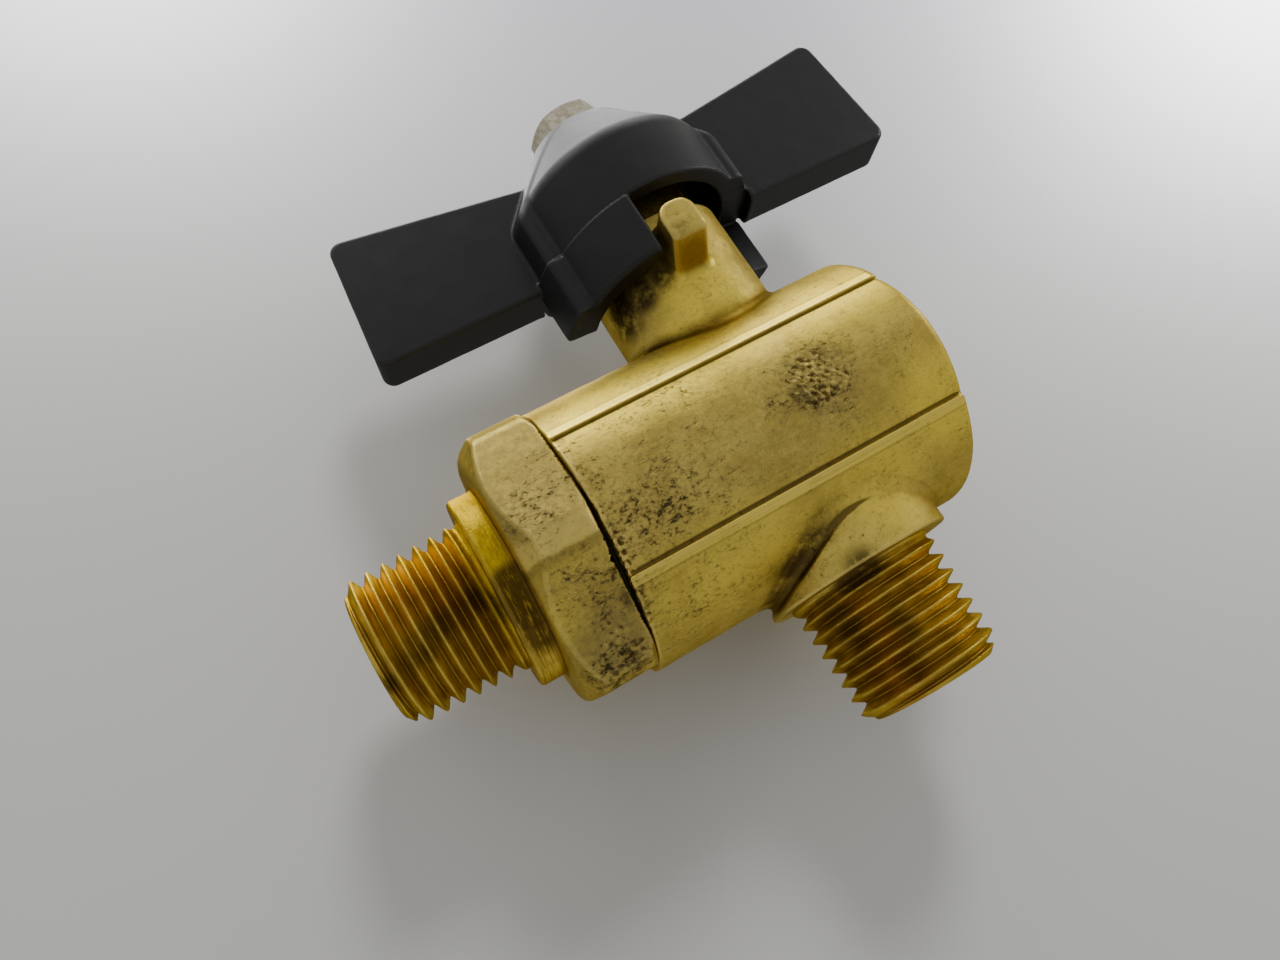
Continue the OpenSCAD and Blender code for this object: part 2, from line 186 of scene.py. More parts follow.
def nets(field, lo, hi, h):
    """Mesh of field = 0 by surface nets: vertices, quads, unit normals and the sum of curvatures (1/mm)."""
    lo, hi = np.array(lo, float) - 2.5 * h, np.array(hi, float) + 2.5 * h
    values, axes = sample(field, lo, hi, h)
    V, number = cell_vertices(values, axes, h)
    Q = cell_quads(values < 0, number)
    for _ in range(3):
        G = slope(field, V, 0.02)
        step = field(*V.T) / np.maximum((G * G).sum(1), 0.2)
        V = V - np.clip(step, -0.5 * h, 0.5 * h)[:, None] * G
    N = slope(field, V, 0.03)
    N /= np.maximum(np.linalg.norm(N, axis=1), 1e-6)[:, None]
    e = 0.3
    curve = -6 * field(*V.T)
    for d in np.eye(3) * e:
        curve = curve + field(*(V + d).T) + field(*(V - d).T)
    return V, Q, N, curve / (e * e)


def to_row(V):
    return (V + np.array([0, 0, AXIS_H])) * 0.001


def make_object(name, parts, mats):
    """One mesh object from parts [(V, quads, normals or None, bend or None, material number)].

    V is in mm about the ball's centre. Where a part gives no normals, Blender's own smooth ones are used.
    """
    Vs, Ns, Ks, quads, slots, start = [], [], [], [], [], 0
    for V, Q, N, K, slot in parts:
        Vs.append(V)
        Ns.append(N if N is not None else np.zeros_like(V))
        Ks.append(K if K is not None else np.zeros(len(V)))
        quads.append(np.asarray(Q) + start)
        slots.append(np.broadcast_to(slot, len(Q)))
        start += len(V)
    V, N, K = np.concatenate(Vs), np.concatenate(Ns), np.concatenate(Ks)
    F, M = np.concatenate(quads), np.concatenate(slots)
    me = bpy.data.meshes.new(name)
    me.vertices.add(len(V))
    me.vertices.foreach_set("co", to_row(V).astype(np.float32).ravel())
    me.loops.add(F.size)
    me.loops.foreach_set("vertex_index", F.astype(np.int32).ravel())
    me.polygons.add(len(F))
    me.polygons.foreach_set("loop_start", np.arange(0, F.size, 4, dtype=np.int32))
    me.polygons.foreach_set("loop_total", np.full(len(F), 4, np.int32))
    me.update(calc_edges=True)
    me.polygons.foreach_set("use_smooth", np.ones(len(F), bool))
    me.polygons.foreach_set("material_index", M.astype(np.int32))
    for mat in mats:
        me.materials.append(mat)
    at = me.attributes.new("bend", "FLOAT", "POINT")
    at.data.foreach_set("value", np.clip(K, -6, 6).astype(np.float32))
    missing = np.linalg.norm(N, axis=1) < 0.5
    if missing.any():
        auto = np.zeros(len(V) * 3, np.float32)
        me.vertex_normals.foreach_get("vector", auto)
        N = np.where(missing[:, None], auto.reshape(-1, 3), N)
    me.normals_split_custom_set_from_vertices(N.astype(np.float32))
    ob = bpy.data.objects.new(name, me)
    scene.collection.objects.link(ob)
    return ob


# ---------------------------------------------------------------- shapes
def gap_shape(z):
    """How far the joint behind the hexagon gapes, 0 to 1: closed at the top, widest just below the middle."""
    g = np.clip(1 - np.abs(z + 4.2) / 7.5, 0, 1)
    return g * g * (3 - 2 * g)


def body_field(x, y, z):
    ay, rho, r = np.abs(y), hyp(y, z), hyp(x, y)
    edge = np.abs(z) * math.cos(PANEL_A) - ay * math.sin(PANEL_A)
    tube = meet(rho - BARREL_R, -edge, 0.1)
    tube = meet(tube, x - BARREL_CLOSED, 0.9)
    tube = meet(tube, -BARREL_OPEN - x, 0.15)
    panel = hyp(ay - PANEL_SHIFT, z) - PANEL_R
    panel = np.maximum(panel, edge - 3.0)
    panel = meet(panel, x - BARREL_CLOSED, 0.9)
    panel = meet(panel, 0.05 - BARREL_OPEN - x, 0.12)
    d = join(panel, tube, 0.08)
    neck = meet(r - NECK_R, z - NECK_TOP, 0.3)
    d = join(d, np.maximum(neck, 2 - z), 0.55)
    boss = meet(r - BOSS_R, BOSS_LOW - z, 0.2)
    d = join(d, np.maximum(boss, z), 0.75)
    # the forging flash leaves a valley beside the boss on its inlet side
    valley = hyp(r - 8.5, rho - 12.7) - 0.42 + 0.10 * np.clip(x + 5.0, 0, 7)
    d = cut(d, np.maximum(valley, z), 0.3)
    # stop lug: face, sloping underside, top and rounded upper corners
    under = (-(y + NECK_R) * 1.5 - (z - LUG_LOW) * 4.0) / math.hypot(1.5, 4.0)
    lug = meet(meet(-LUG_REACH - y, z - LUG_TOP, 0.6), under, 0.6)
    sides = meet(np.abs(x - LUG_X) - LUG_HALF, z - LUG_TOP, 1.6)
    lug = meet(lug, sides, 0.5)
    lug = np.maximum(lug, y + 5)
    d = join(d, lug, 0.6)
    # the crumpled patch on the panel, and the nicked edge where the joint gapes
    scar = np.clip(1.35 - np.sqrt((x - 1.2) ** 2 + (z + 0.1) ** 2 * 1.6) / 2.9, 0, 1) * (y < 0)
    nick = np.clip(1 - (x + BARREL_OPEN) / 0.9, 0, 1) * gap_shape(z) * (y < 0)
    d = d + 0.02 * ripple(x, y, z, 3.6)
    d = d + 0.15 * scar * np.abs(ripple(x, y, z, 0.9)) + 0.3 * nick * np.maximum(ripple(x, y, z, 0.7), 0)
    # hollows: ball chamber, mouth for the adapter, outlet passage, stem pocket, stem bore, packing chamber
    d = cut(d, np.maximum(rho - CHAMBER_R, x - CHAMBER_R), 0.05)
    d = cut(d, np.maximum(rho - MOUTH_R, x - MOUTH_END), 0.2)
    d = cut(d, np.maximum(r - PORT_R, z), 0.05)
    d = cut(d, np.maximum(r - POCKET_R, band(z, 0, POCKET_TOP)), 0.05)
    d = cut(d, np.maximum(r - STEM_BORE_R, -z), 0.05)
    return cut(d, np.maximum(r - PACKING_R, PACKING_LOW - z), 0.15)


def adapter_field(x, y, z):
    rho = hyp(y, z)
    hexa = None
    for k in range(3):
        a = math.radians(60 * k - 60 + HEX_TURN)
        side = np.abs(-y * math.cos(a) + z * math.sin(a)) - HEX_FLAT
        hexa = side if hexa is None else meet(hexa, side, 0.25)
    hexa = meet(hexa, rho - HEX_ROUND_R, 0.2)
    cone = (rho - 10.95 - 1.2 * (x - HEX_L)) / math.hypot(1, 1.2)
    hexa = meet(hexa, cone, 0.15)
    hexa = meet(hexa, HEX_L - x, 0.3)
    back = (rho - 12.3 - (HEX_R - x)) / math.hypot(1, 1)
    rag = 0.25 * gap_shape(z) * np.maximum(ripple(x, y, z + 3, 0.7), 0) * (y < 0)
    hexa = meet(meet(hexa, back, 0.15), x - HEX_R - 0.09 + 0.34 * gap_shape(z) + rag, 0.1)
    collar = meet(rho - COLLAR_R, COLLAR_L - x, 0.35)
    collar = np.maximum(collar, x + 22)
    scar = np.clip(1.5 - np.sqrt((x + 21.6) ** 2 + (z + 9.6) ** 2) / 2.2, 0, 1) * (y < 0)
    d = join(hexa, collar, 0.25) + 0.02 * ripple(x, y, z, 3.0)
    d = d + 0.1 * scar * np.maximum(ripple(x, y, z, 0.8), 0)
    d = np.minimum(d, np.maximum(rho - SPIGOT_R, band(x, HEX_R - 1, MOUTH_END)))
    d = np.minimum(d, np.maximum(rho - NOSE_R, band(x, -11, -CHAMBER_R)))
    return cut(d, rho - PORT_R, 0.05)


def handle_field(x, y, z):
    r = hyp(x, y)
    ax, ay = np.abs(x), np.abs(y)

    def dome(wall_r, wall_z):
        """Distance from the cone that starts at the top of a wall and ends at the hub's flat top."""
        run_r, run_z = CONE_TOP_R - wall_r, HUB_TOP - wall_z
        return ((r - wall_r) * run_z - (z - wall_z) * run_r) / math.hypot(run_r, run_z)

    hub = meet(meet(r - HUB_R, dome(HUB_R, 29.2) - 0.2, 0.5), z - HUB_TOP, 0.6)
    skirt = meet(r - SKIRT_R, z - LEDGE_Z, 0.12)
    hub = join(hub, skirt, 0.1)
    pad = meet(meet(r - PAD_R, dome(PAD_R, 28.3) - 0.2, 0.5), z - HUB_TOP, 0.6)
    pad = meet(pad, ay - PAD_HALF, 0.6)
    hub = join(hub, pad, 0.25)
    lip = meet(meet(r - 11.7, z - LEDGE_Z, 0.3), ay - 5.6, 0.6)
    hub = join(hub, lip, 0.15)
    hub = meet(hub, SKIRT_LOW - z, 0.4)

    def notch(a, b):
        """The part of the skirt between the angles a and b, in degrees."""
        mid, half = math.radians((a + b) / 2), math.radians((b - a) / 2)
        turn = np.arctan2(y, x) - mid
        beyond = np.abs(np.arctan2(np.sin(turn), np.cos(turn))) - half
        side = np.where(beyond < -0.6, -6.0, r * np.sin(np.clip(beyond, -0.6, 1.2)))
        return meet(meet(side, z - LEDGE_Z, 0.3), r - 11.8, 0.05)

    hub = cut(hub, notch(-104.5, 14), 0.25)
    hub = cut(hub, notch(75.5, 186), 0.25)
    # wings: a plate whose top edge rises towards its tip
    rise, run = WING_DROP - 0.35, -(WING_REACH - 1.1 - WING_ROOT)
    top_z = WING_LOW + WING_TALL - WING_DROP
    top = -((ax - WING_ROOT) * rise + (z - top_z) * run) / math.hypot(rise, run)
    tip = ((ax - WING_REACH) * WING_TALL + (z - WING_LOW) * 1.15) / math.hypot(WING_TALL, 1.15)
    plate = meet(meet(meet(tip, top, 1.3), WING_LOW - z, 0.6), WING_ROOT - ax, 0.3)
    plate = np.maximum(plate, meet(tip, WING_LOW - z, 1.2))
    wing = meet(plate, ay - WING_HALF, 0.4)
    # below the ledge the wings end within the lip, so that they don't fill the notch
    wing = np.where((r < 11.45) & (z < LEDGE_Z), np.maximum(wing, np.minimum(11.45 - r, LEDGE_Z - z)), wing)
    d = join(hub, wing, 0.35)
    d = d + 0.012 * ripple(x, y, z, 4.0)
    # hollows: cup under the hub, the stem's two flats, screw hole, recess for the washer
    d = cut(d, meet(r - CUP_R, z - CUP_TOP, 0.2), 0.2)
    d = cut(d, np.maximum(np.maximum(r - 3.05, ay - 2.2), z - 34.95), 0.03)
    d = cut(d, r - 2.2, 0.03)
    return cut(d, np.maximum(r - 4.1, 35.25 - z), 0.12)


def thread_part(end, inward, length, last, phase, material):
    """Pipe end with a right-hand spiral thread, whose groove fades out just before last.

    end is the end face's centre and inward points into the part. length and last are measured from that face.
    """
    around = 288
    t = np.linspace(0, 2 * np.pi, around, endpoint=False)
    S, T = np.meshgrid(np.arange(0, length + 1e-6, 0.055), t, indexing="ij")
    u = (S - FIRST_CREST) / PITCH - T / (2 * np.pi) + phase
    f = np.abs(2 * (u - np.floor(u)) - 1)
    ridge = np.clip((f - 0.08) / 0.84, 0, 1)
    ridge = 0.75 * ridge + 0.25 * ridge * ridge * (3 - 2 * ridge)
    cutting = np.clip((last - S) / 1.6, 0, 1)
    crest = CREST_R + np.maximum(S - FIRST_CREST, 0) * TAPER
    R = np.minimum(crest - THREAD_DEPTH * (1 - ridge) * cutting, RIM_R + S * 1.15)
    one = np.ones((1, around))
    # four more rings close the end: the bore's far end, both edges of its bevel, and the end face's rim
    R = np.concatenate([PORT_R * one, PORT_R * one, 3.65 * one, 5.25 * one, R])
    S = np.concatenate([length * one, 0.15 * one, 0 * one, 0 * one, S])
    bend = np.concatenate([0 * one] * 4 + [(ridge - 0.45) * 3.0 * cutting])
    inward = np.array(inward, float)
    a = np.array([0, 1.0, 0])
    b = np.cross(inward, a)
    out = np.cos(t)[None, :, None] * a + np.sin(t)[None, :, None] * b
    V = np.array(end, float) + S[..., None] * inward + R[..., None] * out
    idx = np.arange(R.size).reshape(R.shape)
    across, down = np.roll(idx, -1, 1), np.roll(idx, -1, 0)
    Q = np.stack([idx, across, np.roll(across, -1, 0), down], -1).reshape(-1, 4)
    return V.reshape(-1, 3), Q[:, ::-1], None, bend.ravel(), material


# ---------------------------------------------------------------- material tools
class Graph:
    """Short ways to add nodes to a node tree. A value is a number, a tuple or another node's socket."""

    def __init__(self, tree):
        self.t = tree

    def put(self, socket, v):
        if hasattr(v, "is_linked"):
            self.t.links.new(v, socket)
        elif isinstance(v, (tuple, list)) and len(v) == 3 and socket.type == "RGBA":
            socket.default_value = (*v, 1)
        else:
            socket.default_value = v

    def node(self, kind, props=None, **ins):
        """A new node. An input is named, with _0, _1 and so on for inputs known by their number."""
        n = self.t.nodes.new("ShaderNode" + kind)
        for k, v in (props or {}).items():
            setattr(n, k, v)
        for k, v in ins.items():
            self.put(n.inputs[int(k[1:]) if k[0] == "_" else k], v)
        return n

    def math(self, op, a, b=0.0, c=0.0):
        return self.node("Math", {"operation": op}, _0=a, _1=b, _2=c).outputs[0]

    def vec(self, op, a, b=None, scale=None):
        n = self.node("VectorMath", {"operation": op}, _0=a)
        if b is not None:
            self.put(n.inputs[1], b)
        if scale is not None:
            self.put(n.inputs["Scale"], scale)
        return n.outputs["Value" if op in ("DOT_PRODUCT", "LENGTH") else "Vector"]

    def split(self, v):
        return self.node("SeparateXYZ", _0=v).outputs

    def span(self, v, a, b, lo=0.0, hi=1.0):
        """v mapped smoothly from a..b to lo..hi, clamped."""
        smooth = {"interpolation_type": "SMOOTHSTEP"}
        return self.node("MapRange", smooth, _0=v, _1=a, _2=b, _3=lo, _4=hi).outputs[0]


class Mat(Graph):
    """A material. Its coordinates are millimetres in the row frame at rest."""

    def __init__(self, name):
        self.m = bpy.data.materials.new(name)
        self.m.use_nodes = True
        super().__init__(self.m.node_tree)
        self.t.nodes.clear()
        self.out = self.node("OutputMaterial")
        self.b = self.node("BsdfPrincipled")
        self.t.links.new(self.b.outputs[0], self.out.inputs[0])
        self.p = self.vec("SCALE", self.node("TexCoord").outputs["Object"], scale=1000.0)
        self.x, self.y, self.z = self.split(self.p)

    def stretch(self, k, shift=(0, 0, 0)):
        return self.vec("ADD", self.vec("MULTIPLY", self.p, tuple(k)), tuple(shift))

    def noise(self, scale, detail, rough, v=None, shift=0.0):
        v = self.p if v is None else v
        if shift:
            v = self.vec("ADD", v, (shift, shift * 0.7, -shift))
        return self.node("TexNoise", Vector=v, Scale=scale, Detail=detail, Roughness=rough).outputs["Fac"]

    def mix(self, f, a, b):
        """Colour a where f is 0 and b where it is 1."""
        return self.node("Mix", {"data_type": "RGBA", "clamp_factor": True}, _0=f, _6=a, _7=b).outputs[2]

    def mul(self, a, b, *more):
        v = self.math("MULTIPLY", a, b)
        return self.mul(v, *more) if more else v

    def either(self, a, b, *more):
        v = self.math("MAXIMUM", a, b)
        return self.either(v, *more) if more else v

    def spot(self, at, inner, outer, squash=(1, 1, 1)):
        """1 within inner mm of the point at, falling to 0 at outer mm."""
        q = self.vec("MULTIPLY", self.vec("SUBTRACT", self.p, tuple(at)), tuple(squash))
        return self.span(self.vec("LENGTH", q), inner, outer, 1.0, 0.0)

    def bend(self):
        return self.node("Attribute", {"attribute_name": "bend"}).outputs["Fac"]

    def bump(self, height, distance, strength=1.0):
        """A normal from a height of 0 to 1, which stands for distance in millimetres."""
        return self.node("Bump", Height=height, Distance=distance * 0.001, Strength=strength).outputs[0]

    def done(self, color, rough, normal=None, metallic=0.0, **sockets):
        self.put(self.b.inputs["Base Color"], color)
        self.put(self.b.inputs["Roughness"], rough)
        self.b.inputs["Metallic"].default_value = metallic
        if normal is not None:
            self.put(self.b.inputs["Normal"], normal)
        for k, v in sockets.items():
            self.b.inputs[k.replace("_", " ")].default_value = v
        return self.m


# ---------------------------------------------------------------- materials
def stains(m, spots):
    """Highest of several soft spots [(place in mm, inner radius, outer radius, strength, squash)]."""
    total = 0.0
    for at, inner, outer, strength, squash in spots:
        total = m.either(total, m.mul(m.spot(at, inner, outer, squash), strength))
    return total


def forged_brass(name, dirt, soot_and_shade, tarnish_and_shade, bright, rust=(), creases=False, ridge=False):
    """Dull, tumbled brass, with spots of dirt, soot, tarnish, rust, painted highlights and painted shade. Dirt is
    black pits and scratches.

    creases adds painted highlights and painted shade along the panel's creases, and painted shade in the valleys.
    ridge adds a painted highlight and a painted shade stripe along the ridge between two flats.
    """
    m = Mat(name)
    cloud, mid, fine = m.noise(0.16, 4, 0.6), m.noise(0.8, 4, 0.6, shift=9), m.noise(5.5, 4, 0.7, shift=3)
    streak = m.noise(1.0, 5, 0.65, v=m.stretch((0.3, 4.5, 4.5)))
    tone = m.math("ADD", m.mul(cloud, 0.40), m.mul(mid, 0.14))
    tone = m.math("ADD", m.math("ADD", tone, m.mul(streak, 0.12)), m.mul(fine, 0.34))
    c = m.mix(m.span(tone, 0.38, 0.62), (0.41, 0.30, 0.062), (0.68, 0.525, 0.125))
    # painted highlights: lighter metal over the given lit spots
    highlight = stains(m, bright)
    c = m.mix(m.mul(highlight, m.span(tone, 0.40, 0.56, 0.55, 0.95)), c, (0.86, 0.67, 0.085))
    brown = m.span(m.noise(0.35, 4, 0.6, shift=31), 0.55, 0.72, 0.0, 0.45)
    c = m.mix(m.mul(brown, m.math("SUBTRACT", 1.0, highlight)), c, (0.42, 0.27, 0.055))
    # tarnish and painted shade, greyed in patches
    patches = m.span(m.noise(1.8, 5, 0.75, shift=17), 0.38, 0.60, 0.5 if ridge else 0.25, 1.0)
    grey = m.mul(stains(m, tarnish_and_shade), patches)
    c = m.mix(m.mul(grey, 0.85 if ridge else 0.75), c, (0.27, 0.215, 0.07))
    if rust:
        c = m.mix(m.mul(stains(m, rust), 0.9), c, (0.44, 0.27, 0.022))
    # soot and painted shade, broken up by noise
    soot_and_shade_mask = m.mul(stains(m, soot_and_shade), m.span(m.noise(0.7, 5, 0.7, shift=41), 0.3, 0.55))
    c = m.mix(m.mul(soot_and_shade_mask, 0.93), c, (0.045, 0.031, 0.012))
    # dark pits, few over the whole casting and crowded in the dirty places
    patchy = m.span(m.noise(1.1, 4, 0.7, shift=61), 0.36, 0.62, 0.35, 1.15)
    crowd = m.mul(stains(m, dirt), patchy, 0.15)
    crowd = m.math("ADD", crowd, m.mul(m.span(m.noise(0.3, 3, 0.6, shift=5), 0.42, 0.65), 0.05))
    grain = m.noise(2.3, 7, 0.82, v=m.stretch((0.85, 1.15, 1.15)), shift=21)
    dirty = m.math("ADD", grain, crowd)
    haze = m.span(dirty, 0.52, 0.68, 0.0, 0.55)
    c = m.mix(haze, c, (0.20, 0.15, 0.06))
    pits = m.span(dirty, 0.64, 0.75)
    scratch = m.noise(1.0, 3, 0.6, v=m.stretch((0.5, 5.5, 5.5), (3, 1, 8)))
    pits = m.either(pits, m.mul(m.span(m.math("ADD", scratch, crowd), 0.74, 0.79), 0.8))
    pit_color = m.mix(m.span(mid, 0.4, 0.6), (0.035, 0.027, 0.015), (0.085, 0.065, 0.032))
    c = m.mix(m.mul(pits, 0.88), c, pit_color)
    # painted shade in concave places
    hollow_shade = m.span(m.bend(), -0.5, -2.0)
    c = m.mix(m.mul(hollow_shade, 0.85), c, (0.10, 0.063, 0.018))
    worn = m.span(m.bend(), 0.6, 2.5)
    c = m.mix(m.mul(worn, 0.2 if ridge else 0.45), c, (0.86, 0.68, 0.20))
    rough = m.math("ADD", m.span(fine, 0.3, 0.7, 0.40, 0.52), m.mul(pits, 0.3))
    if creases:
        # painted highlight: the strip beside each crease is painted bright, with fine lines along it, and is smoother
        ay = m.math("ABSOLUTE", m.y)
        up = m.math("SUBTRACT", m.z, AXIS_H)
        h = m.math("ABSOLUTE", up)
        off = m.math("SUBTRACT", m.mul(h, math.cos(PANEL_A)), m.mul(ay, math.sin(PANEL_A)))
        strip = m.mul(m.span(off, 0.02, 0.1), m.span(off, 1.0, 0.75), m.span(m.y, -6.0, -8.0))
        lines = m.noise(1.0, 2, 0.5, v=m.stretch((0.12, 7.0, 7.0), (2, 5, 1)))
        crease_highlight = m.mul(strip, m.span(lines, 0.42, 0.55, 0.35, 0.9))
        c = m.mix(crease_highlight, c, (0.88, 0.68, 0.13))
        rough = m.math("SUBTRACT", rough, m.mul(strip, 0.12))
        # painted shade: a dark band along the step of each crease
        rim = m.mul(m.span(off, 0.86, 0.96), m.span(off, 1.12, 1.0), m.span(m.y, -6.0, -8.0))
        c = m.mix(m.mul(rim, 0.35), c, (0.24, 0.16, 0.035))
        # painted shade in the valley beside the boss and where the neck meets the barrel
        around = m.vec("LENGTH", m.vec("MULTIPLY", m.p, (1, 1, 0)))
        from_axis = m.vec("SUBTRACT", m.p, (0, 0, AXIS_H))
        out = m.vec("LENGTH", m.vec("MULTIPLY", from_axis, (0, 1, 1)))
        shade_breakup = m.noise(0.55, 5, 0.7, shift=51)
        valley_shade = m.span(m.math("ABSOLUTE", m.math("SUBTRACT", around, 8.6)), 0.3, 1.5, 1.0, 0.0)
        valley_shade = m.mul(valley_shade, m.span(m.math("ABSOLUTE", m.math("SUBTRACT", out, 12.2)), 0.5, 1.6, 1.0, 0.0))
        valley_shade = m.mul(valley_shade, m.span(m.x, -0.3, -4.0), m.span(up, -5.0, -8.0))
        c = m.mix(m.mul(valley_shade, m.span(shade_breakup, 0.36, 0.62, 0.15, 0.85)), c, (0.10, 0.062, 0.02))
        neck_foot_shade = m.span(m.math("ABSOLUTE", m.math("SUBTRACT", around, 7.6)), 0.25, 1.1, 1.0, 0.0)
        neck_foot_shade = m.mul(neck_foot_shade, m.span(m.math("ABSOLUTE", m.math("SUBTRACT", out, 12.3)), 0.25, 1.0, 1.0, 0.0))
        neck_foot_shade = m.mul(neck_foot_shade, m.span(up, 5.0, 8.0))
        c = m.mix(m.mul(neck_foot_shade, m.span(shade_breakup, 0.3, 0.6, 0.45, 0.85)), c, (0.17, 0.10, 0.02))
    if ridge:
        # painted highlight along the ridge between the two nearest flats, with a painted shade stripe along its lower
        # side
        turn = math.radians(6.7)
        up = m.math("SUBTRACT", m.z, AXIS_H)
        t = m.math("SUBTRACT", m.mul(up, math.cos(turn)), m.mul(m.y, math.sin(turn)))
        t = m.math("ADD", t, m.span(mid, 0.2, 0.8, -0.15, 0.15))
        front = m.span(m.y, -9.0, -11.0)
        ridge_highlight = m.mul(m.span(t, -1.1, -0.75), m.span(t, 1.3, 0.4), front, 0.45)
        c = m.mix(ridge_highlight, c, (0.80, 0.63, 0.19))
        ridge_shade_line = m.mul(m.span(t, -2.2, -1.3), m.span(t, -0.8, -1.15), front, 0.5)
        c = m.mix(ridge_shade_line, c, (0.16, 0.115, 0.035))
    rough = m.math("SUBTRACT", rough, m.mul(worn, 0.1))
    h = m.math("ADD", m.mul(fine, 0.4), m.math("SUBTRACT", m.mul(mid, 0.15), m.mul(pits, 0.8)))
    return m.done(c, rough, m.bump(h, 0.06, 0.8), metallic=1.0, Specular_Tint=(0.85, 0.69, 0.34, 1))


def machined_brass(name, along=(1, 1, 1), soot_and_shade=(), rust=(), gold=()):
    """Bright turned brass with fine lines round the axis that along stretches most, and brown stains."""
    m = Mat(name)
    big = m.noise(0.30, 4, 0.6, shift=2)
    mid = m.noise(1.5, 5, 0.7, v=m.stretch(along), shift=13)
    lines = m.noise(1.0, 3, 0.6, v=m.stretch([0.25 + 6.0 * max(k - 1, 0) for k in along], (1, 7, 4)))
    c = m.mix(m.span(big, 0.35, 0.65), (0.50, 0.35, 0.055), (0.76, 0.57, 0.10))
    c = m.mix(m.mul(m.span(lines, 0.46, 0.62), 0.7), c, (0.27, 0.155, 0.028))
    golden = m.mix(m.span(mid, 0.35, 0.65), (0.32, 0.205, 0.006), (0.58, 0.40, 0.012))
    c = m.mix(m.mul(stains(m, gold), 0.9), c, golden)
    red = m.mul(m.either(m.span(big, 0.6, 0.75, 0.0, 0.25), stains(m, rust)), m.span(mid, 0.35, 0.6))
    c = m.mix(m.mul(red, 0.7), c, (0.46, 0.20, 0.03))
    # soot and painted shade, in streaks
    soot_and_shade_mask = m.mul(stains(m, soot_and_shade), m.span(m.math("ADD", m.mul(mid, 0.6), m.mul(lines, 0.4)), 0.33, 0.50))
    c = m.mix(m.mul(soot_and_shade_mask, 0.88), c, (0.070, 0.038, 0.013))
    # painted shade in the thread roots and other concave places
    hollow_shade = m.span(m.bend(), -0.2, -1.6)
    c = m.mix(m.mul(hollow_shade, 0.6), c, (0.16, 0.09, 0.022))
    crest = m.span(m.bend(), 0.8, 1.6)
    c = m.mix(m.mul(crest, 0.25), c, (0.58, 0.42, 0.09))
    specks = m.span(m.noise(3.2, 6, 0.8, shift=8), 0.66, 0.72)
    c = m.mix(m.mul(specks, 0.8), c, (0.06, 0.045, 0.02))
    rough = m.math("ADD", m.span(mid, 0.3, 0.7, 0.30, 0.44), m.mul(soot_and_shade_mask, 0.2))
    grain = m.bump(m.noise(6.0, 3, 0.6), 0.05, 0.8)
    return m.done(c, rough, grain, metallic=1.0, Specular_Tint=(0.85, 0.65, 0.26, 1))


def black_plastic(name):
    """Satin black moulding with a little dust, paler where its edges are rubbed."""
    m = Mat(name)
    grain, cloud = m.noise(7.0, 4, 0.7), m.noise(0.5, 4, 0.6, shift=4)
    c = m.mix(m.span(cloud, 0.3, 0.7), (0.0050, 0.0052, 0.0054), (0.0065, 0.0067, 0.0069))
    dust = m.mul(m.span(m.noise(2.6, 5, 0.75, shift=12), 0.68, 0.74), 0.35)
    c = m.mix(dust, c, (0.05, 0.05, 0.048))
    worn = m.span(m.bend(), 1.0, 4.0, 0.0, 0.4)
    c = m.mix(worn, c, (0.045, 0.045, 0.045))
    rough = m.span(grain, 0.3, 0.7, 0.42, 0.50)
    return m.done(c, rough, m.bump(grain, 0.035, 0.6), Specular_IOR_Level=0.32)


def plain(name, a, b, rough, metallic=0.0, bump=0.01):
    """One material between the colours a and b, for the small pieces."""
    m = Mat(name)
    n = m.noise(1.5, 4, 0.6, shift=6)
    c = m.mix(m.span(n, 0.35, 0.65), a, b)
    bumps = m.bump(m.noise(7.5, 3, 0.6), bump)
    return m.done(c, m.span(n, 0.3, 0.7, rough * 0.85, rough * 1.15), bumps, metallic=metallic)


# spots: place in mm in the row frame, inner radius, outer radius, strength, and how the spot is squashed
EVEN, ALONG_X, ALONG_Z = (1, 1, 1), (0.5, 1, 1), (1, 1, 0.45)
BODY_DIRT = [
    ((1.2, -12.45, 24.5), 2.2, 4.2, 0.62, EVEN), ((0.4, -12.45, 23.2), 0.6, 2.2, 0.85, ALONG_X),
    ((-3.2, -12.4, 23.9), 0.3, 1.9, 0.85, EVEN), ((4.0, -12.3, 26.5), 0.8, 2.6, 0.55, EVEN),
    ((-16.0, -12.0, 21.5), 1.5, 5.0, 0.72, ALONG_X), ((-18.5, -12.0, 26.0), 0.8, 3.6, 0.72, EVEN),
    ((-18.9, -10.8, 29.2), 0.4, 2.4, 0.7, EVEN), ((-9.0, -11.0, 29.8), 0.5, 5.0, 0.3, ALONG_X),
    ((-19.6, -9.5, 16.5), 0.4, 3.5, 0.9, EVEN), ((-12.5, -12.4, 24.5), 1.0, 5.0, 0.45, ALONG_X),
    ((-14.9, -7.3, 14.9), 0.5, 3.0, 0.6, ALONG_X), ((-5.5, -6.5, 14.2), 0.6, 2.6, 0.7, EVEN),
]
